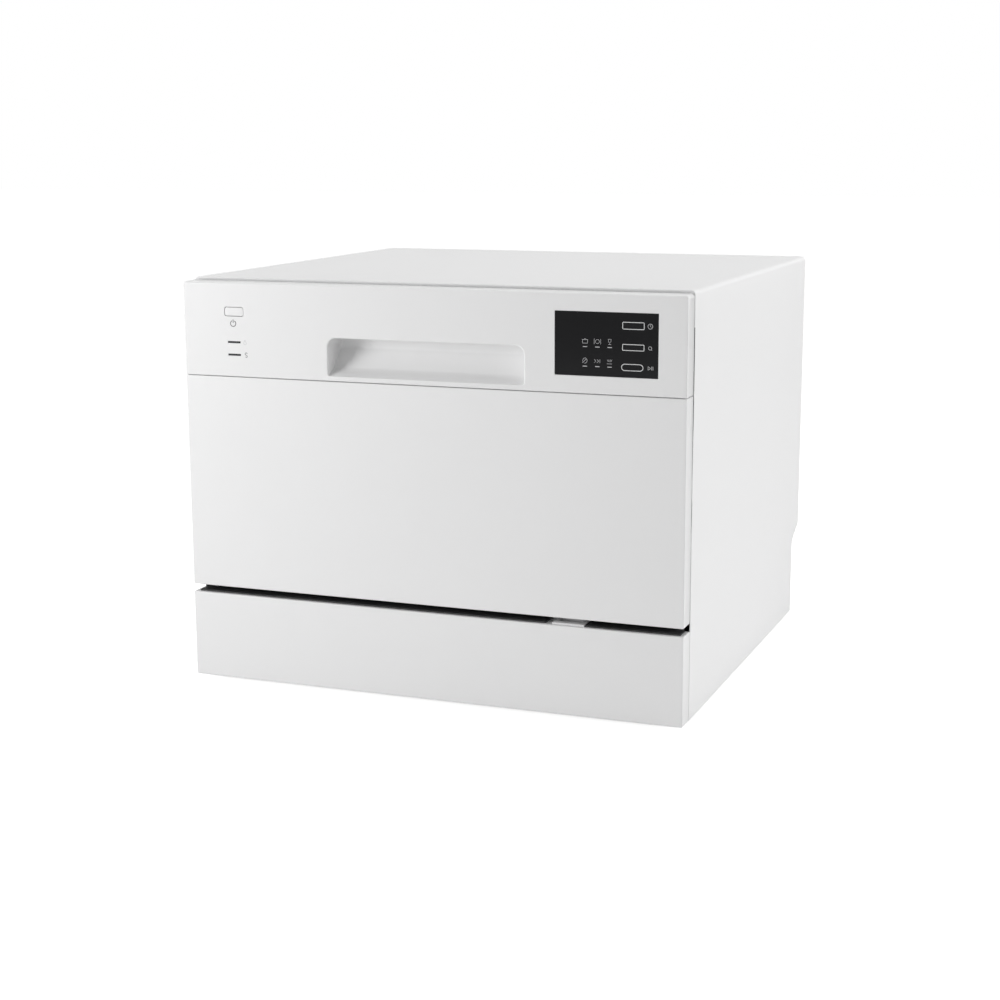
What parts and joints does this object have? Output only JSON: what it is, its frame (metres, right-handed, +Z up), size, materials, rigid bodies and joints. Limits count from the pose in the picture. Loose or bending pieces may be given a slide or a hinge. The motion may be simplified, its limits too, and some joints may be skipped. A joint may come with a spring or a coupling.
{
  "type": "countertop dishwasher",
  "caption": "White countertop dishwasher with a drop-down door, a dark display window, a scooped handle recess, and a sliding dish basket over a spray arm.",
  "frame": {"origin": "on the worktop under the middle of the machine", "axes": "+X to the viewer's right from the front, +Y to the back, +Z up"},
  "size_m": [0.55, 0.525, 0.438],
  "materials": {
    "white_paint": "satin white powder coat",
    "white_plastic": "smooth white moulding",
    "stainless": "fine brushed stainless steel",
    "zinc_steel": "zinc plated steel",
    "display_black": "dark glossy display window",
    "black_plastic": "matt black plastic",
    "grey_rubber": "dark grey rubber",
    "grey_plastic": "light grey plastic",
    "base_plastic": "mid grey moulded base",
    "natural_plastic": "natural polypropylene",
    "basket_coat": "grey nylon coating on wire",
    "smoke_lens": "smoked lens",
    "button_silver": "silver button",
    "board_green": "circuit board",
    "pump_black": "black pump moulding",
    "foam": "expanded foam"
  },
  "bodies": {
    "cabinet": {"outer_wrap": "white_paint", "rear_panel": "zinc_steel", "rear_service_cover": "zinc_steel", "base_tray": "base_plastic", "kick_plate": "white_paint", "gap_seal_strip": "black_plastic", "cable_guide": "grey_plastic", "hinge_brackets": "zinc_steel", "latch_striker": "zinc_steel", "cabinet_screws": "zinc_steel", "tub": "stainless", "door_gasket": "grey_rubber", "basket_rails": "stainless", "sump": "grey_plastic", "fine_filter_plate": "stainless", "spray_riser": "grey_plastic", "softener_tank": "natural_plastic", "wash_pump": "pump_black", "flow_heater": "stainless", "drain_pump": "pump_black", "internal_hoses": "grey_rubber", "air_breather": "natural_plastic", "float_switch": "black_plastic", "inlet_valve": "natural_plastic", "drain_outlet": "grey_plastic", "cable_gland": "black_plastic", "door_springs": "zinc_steel"},
    "door": {"door_outer_panel": "white_paint", "door_inner_panel": "stainless", "control_panel": "white_plastic", "display_window": "display_black", "indicator_lenses": "smoke_lens", "control_board": "board_green", "latch_housing": "grey_plastic", "dispenser_body": "grey_plastic", "hinge_arms": "zinc_steel", "door_screws": "zinc_steel"},
    "latch_hook": {"latch_hook": "zinc_steel"},
    "dispenser_lid": {"dispenser_lid": "grey_plastic"},
    "rinse_cap": {"rinse_cap": "grey_plastic"},
    "spray_arm": {"spray_arm": "grey_plastic"},
    "filter": {"coarse_filter": "grey_plastic", "micro_filter": "stainless"},
    "salt_cap": {"salt_cap": "grey_plastic"},
    "leak_float": {"leak_float": "foam"},
    "basket": {"dish_basket": "basket_coat"},
    "cup_shelf": {"cup_shelf": "basket_coat"},
    "cutlery_basket": {"cutlery_basket": "grey_plastic"},
    "power_button": {"power_button": "white_plastic"},
    "delay_button": {"delay_button": "button_silver"},
    "program_button": {"program_button": "button_silver"},
    "start_button": {"start_button": "button_silver"},
    "front_left_roller": {"front_left_roller": "grey_plastic"},
    "front_left_foot": {"front_left_foot": "black_plastic"},
    "front_right_roller": {"front_right_roller": "grey_plastic"},
    "front_right_foot": {"front_right_foot": "black_plastic"},
    "rear_left_roller": {"rear_left_roller": "grey_plastic"},
    "rear_left_foot": {"rear_left_foot": "black_plastic"},
    "rear_right_roller": {"rear_right_roller": "grey_plastic"},
    "rear_right_foot": {"rear_right_foot": "black_plastic"}
  },
  "joints": [
    {"name": "door_hinge", "type": "hinge", "parent": "cabinet", "child": "door", "pos_m": [0, -0.2515, 0.1149], "axis": [1, 0, 0], "range_deg": [0, 90], "stiffness_Nm_per_rad": 3, "deforming": ["door_springs"]},
    {"name": "latch_pivot", "type": "hinge", "parent": "door", "child": "latch_hook", "pos_m": [0, -0.2475, 0.417], "axis": [1, 0, 0], "range_deg": [-4, 2], "stiffness_Nm_per_rad": 0.3},
    {"name": "dispenser_slide", "type": "slide", "parent": "door", "child": "dispenser_lid", "axis": [1, 0, 0], "range_m": [0, 0.052]},
    {"name": "rinse_twist", "type": "hinge", "parent": "door", "child": "rinse_cap", "pos_m": [0.044, -0.2265, 0.231], "axis": [0, 1, 0], "range_deg": [0, 90]},
    {"name": "spray_spin", "type": "hinge", "parent": "cabinet", "child": "spray_arm", "pos_m": [0, 0.012, 0.17], "axis": [0, 0, 1], "continuous": true},
    {"name": "filter_twist", "type": "hinge", "parent": "cabinet", "child": "filter", "pos_m": [0, -0.06, 0.14], "axis": [0, 0, 1], "range_deg": [0, 60]},
    {"name": "salt_cap_turn", "type": "hinge", "parent": "cabinet", "child": "salt_cap", "pos_m": [-0.165, -0.07, 0.155], "axis": [0, 0, 1], "range_deg": [0, 300]},
    {"name": "leak_float_rise", "type": "slide", "parent": "cabinet", "child": "leak_float", "axis": [0, 0, 1], "range_m": [0, 0.01]},
    {"name": "basket_slide", "type": "slide", "parent": "cabinet", "child": "basket", "axis": [0, -1, 0], "range_m": [-0.015, 0.018]},
    {"name": "cup_shelf_fold", "type": "hinge", "parent": "basket", "child": "cup_shelf", "pos_m": [-0.216, 0, 0.286], "axis": [0, -1, 0], "range_deg": [0, 80]},
    {"name": "cutlery_lift", "type": "slide", "parent": "basket", "child": "cutlery_basket", "axis": [0, 0, 1], "range_m": [0, 0.085]},
    {"name": "power_press", "type": "slide", "parent": "door", "child": "power_button", "axis": [0, 1, 0], "range_m": [0, 0.0015], "stiffness_N_per_m": 500},
    {"name": "delay_press", "type": "slide", "parent": "door", "child": "delay_button", "axis": [0, 1, 0], "range_m": [0, 0.0015], "stiffness_N_per_m": 500},
    {"name": "program_press", "type": "slide", "parent": "door", "child": "program_button", "axis": [0, 1, 0], "range_m": [0, 0.0015], "stiffness_N_per_m": 500},
    {"name": "start_press", "type": "slide", "parent": "door", "child": "start_button", "axis": [0, 1, 0], "range_m": [0, 0.0015], "stiffness_N_per_m": 500},
    {"name": "front_left_roller_turn", "type": "hinge", "parent": "basket", "child": "front_left_roller", "pos_m": [-0.212, -0.15, 0.1683], "axis": [1, 0, 0], "range_deg": [-70, 80]},
    {"name": "front_left_foot_turn", "type": "hinge", "parent": "cabinet", "child": "front_left_foot", "pos_m": [-0.235, -0.205, 0.01], "axis": [0, 0, 1], "range_deg": [-360, 360]},
    {"name": "front_right_roller_turn", "type": "hinge", "parent": "basket", "child": "front_right_roller", "pos_m": [0.212, -0.15, 0.1683], "axis": [1, 0, 0], "range_deg": [-70, 80]},
    {"name": "front_right_foot_turn", "type": "hinge", "parent": "cabinet", "child": "front_right_foot", "pos_m": [0.235, -0.205, 0.01], "axis": [0, 0, 1], "range_deg": [-360, 360]},
    {"name": "rear_left_roller_turn", "type": "hinge", "parent": "basket", "child": "rear_left_roller", "pos_m": [-0.212, 0.15, 0.1683], "axis": [1, 0, 0], "range_deg": [-70, 80]},
    {"name": "rear_left_foot_turn", "type": "hinge", "parent": "cabinet", "child": "rear_left_foot", "pos_m": [-0.235, 0.19, 0.01], "axis": [0, 0, 1], "range_deg": [-360, 360]},
    {"name": "rear_right_roller_turn", "type": "hinge", "parent": "basket", "child": "rear_right_roller", "pos_m": [0.212, 0.15, 0.1683], "axis": [1, 0, 0], "range_deg": [-70, 80]},
    {"name": "rear_right_foot_turn", "type": "hinge", "parent": "cabinet", "child": "rear_right_foot", "pos_m": [0.235, 0.19, 0.01], "axis": [0, 0, 1], "range_deg": [-360, 360]}
  ],
  "couplings": [
    {"joint": "front_left_roller_turn", "follows": "basket_slide", "rad_per_m": 76.923},
    {"joint": "front_right_roller_turn", "follows": "basket_slide", "rad_per_m": 76.923},
    {"joint": "rear_left_roller_turn", "follows": "basket_slide", "rad_per_m": 76.923},
    {"joint": "rear_right_roller_turn", "follows": "basket_slide", "rad_per_m": 76.923}
  ]
}
